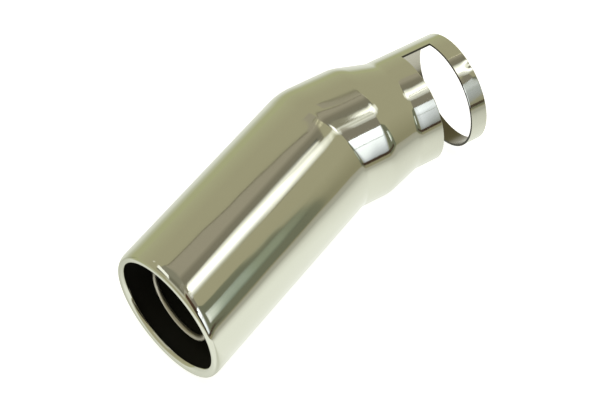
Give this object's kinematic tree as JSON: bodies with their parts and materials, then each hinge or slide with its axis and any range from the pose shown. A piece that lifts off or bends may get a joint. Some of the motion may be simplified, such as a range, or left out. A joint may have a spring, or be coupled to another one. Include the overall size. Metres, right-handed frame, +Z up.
{
  "type": "exhaust tip",
  "caption": "Bent round exhaust tip of polished steel with a rolled lip, a recessed inner pipe and a slotted slip-on neck with an end ring.",
  "frame": {"origin": "on the floor, under the middle of the box of the part as it lies", "axes": "+Z up, -X out of the mouth along the outlet's axis, the neck bends towards -Y in the level plane of the two axes"},
  "size_m": [0.2364, 0.1012, 0.076],
  "materials": {
    "polished_shell": "mirror polished",
    "inner_steel": "polished lip, dull inside"
  },
  "bodies": {
    "root": {"outlet_tube": "polished_shell", "inlet_neck": "polished_shell", "inner_pipe": "inner_steel"}
  },
  "joints": []
}
